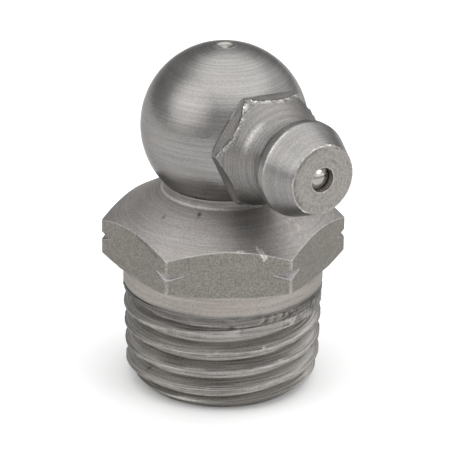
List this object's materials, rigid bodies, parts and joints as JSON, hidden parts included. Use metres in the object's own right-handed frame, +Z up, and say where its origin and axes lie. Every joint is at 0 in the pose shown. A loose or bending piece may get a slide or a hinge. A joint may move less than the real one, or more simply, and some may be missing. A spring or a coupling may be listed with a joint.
{
  "type": "grease nipple",
  "caption": "Right-angle grease nipple: taper-threaded shank, notched hexagon and ball body with a sideways coupling head holding a sprung check ball.",
  "frame": {"origin": "centre of the threaded end face, the face that the nipple stands on in the picture", "axes": "+Z up the axis of the threaded shank towards the ball, +X along the coupling head's axis, out of its nose"},
  "size_m": [0.0194, 0.014, 0.0235],
  "materials": {
    "turned_steel": "satin turned steel, lightly oiled, fine lathe lines",
    "head_steel": "satin turned steel with fine lathe lines and small burrs",
    "ball_steel": "polished steel ball",
    "spring_steel": "drawn spring wire"
  },
  "bodies": {
    "nipple": {"nipple_body": "turned_steel", "coupling_head": "head_steel", "valve_spring": "spring_steel"},
    "valve": {"check_ball": "ball_steel"}
  },
  "joints": [
    {"name": "check_ball_slide", "type": "slide", "parent": "nipple", "child": "valve", "axis": [-1, 0, 0], "range_m": [0, 0.0012], "stiffness_N_per_m": 300, "springref_m": -0.001, "deforming": ["valve_spring"]}
  ]
}
